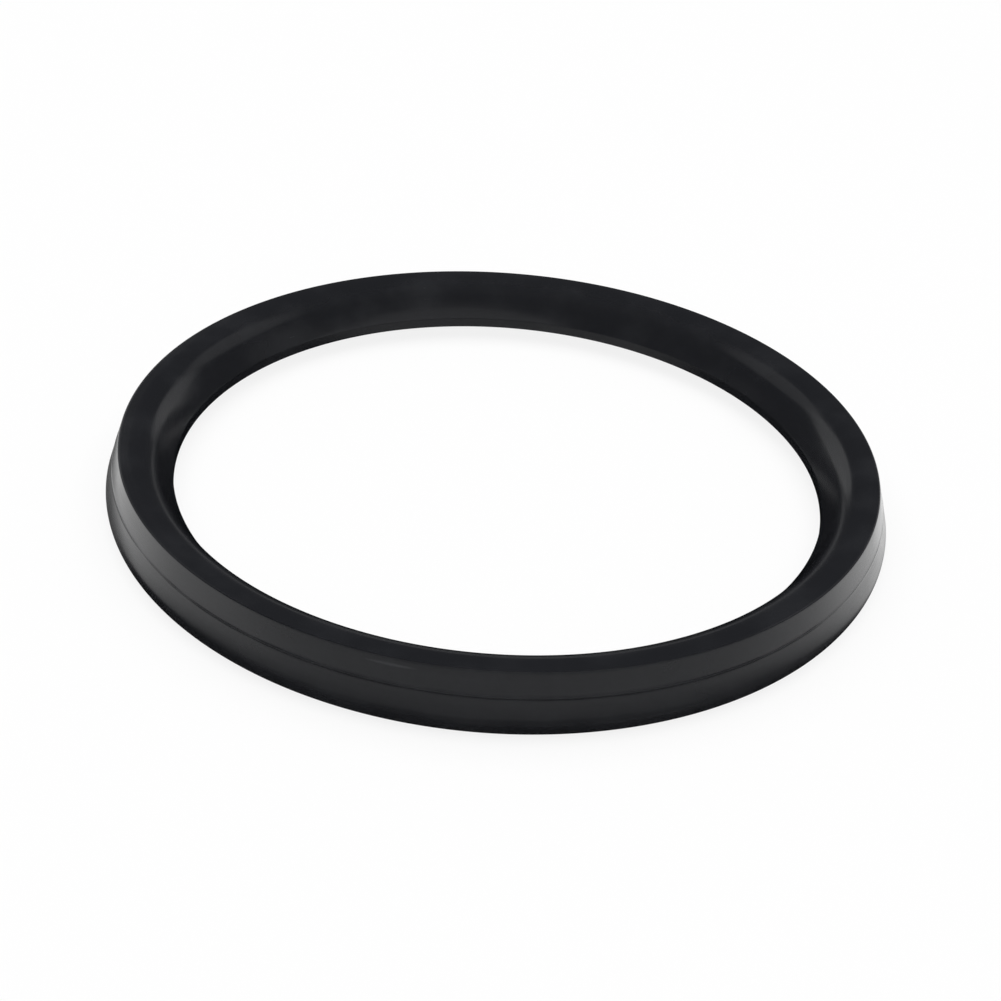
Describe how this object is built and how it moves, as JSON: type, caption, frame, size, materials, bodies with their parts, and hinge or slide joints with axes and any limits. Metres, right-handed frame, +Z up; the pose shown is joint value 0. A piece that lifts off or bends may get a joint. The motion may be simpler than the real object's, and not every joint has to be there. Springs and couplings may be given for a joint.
{
  "type": "o-ring",
  "caption": "Black moulded rubber seal ring with a profiled section: outer wall flared towards the heel, narrow flat land and rounded crown on top, thin lip round the bore.",
  "frame": {"origin": "on the ring's axis, in the plane that the foot of the heel rests on", "axes": "+Z up along the ring's axis, from the heel to the land; X and Y are any two directions across the ring"},
  "size_m": [0.12, 0.12, 0.01],
  "materials": {
    "rubber": "satin"
  },
  "bodies": {
    "root": {"seal_ring": "rubber"}
  },
  "joints": []
}
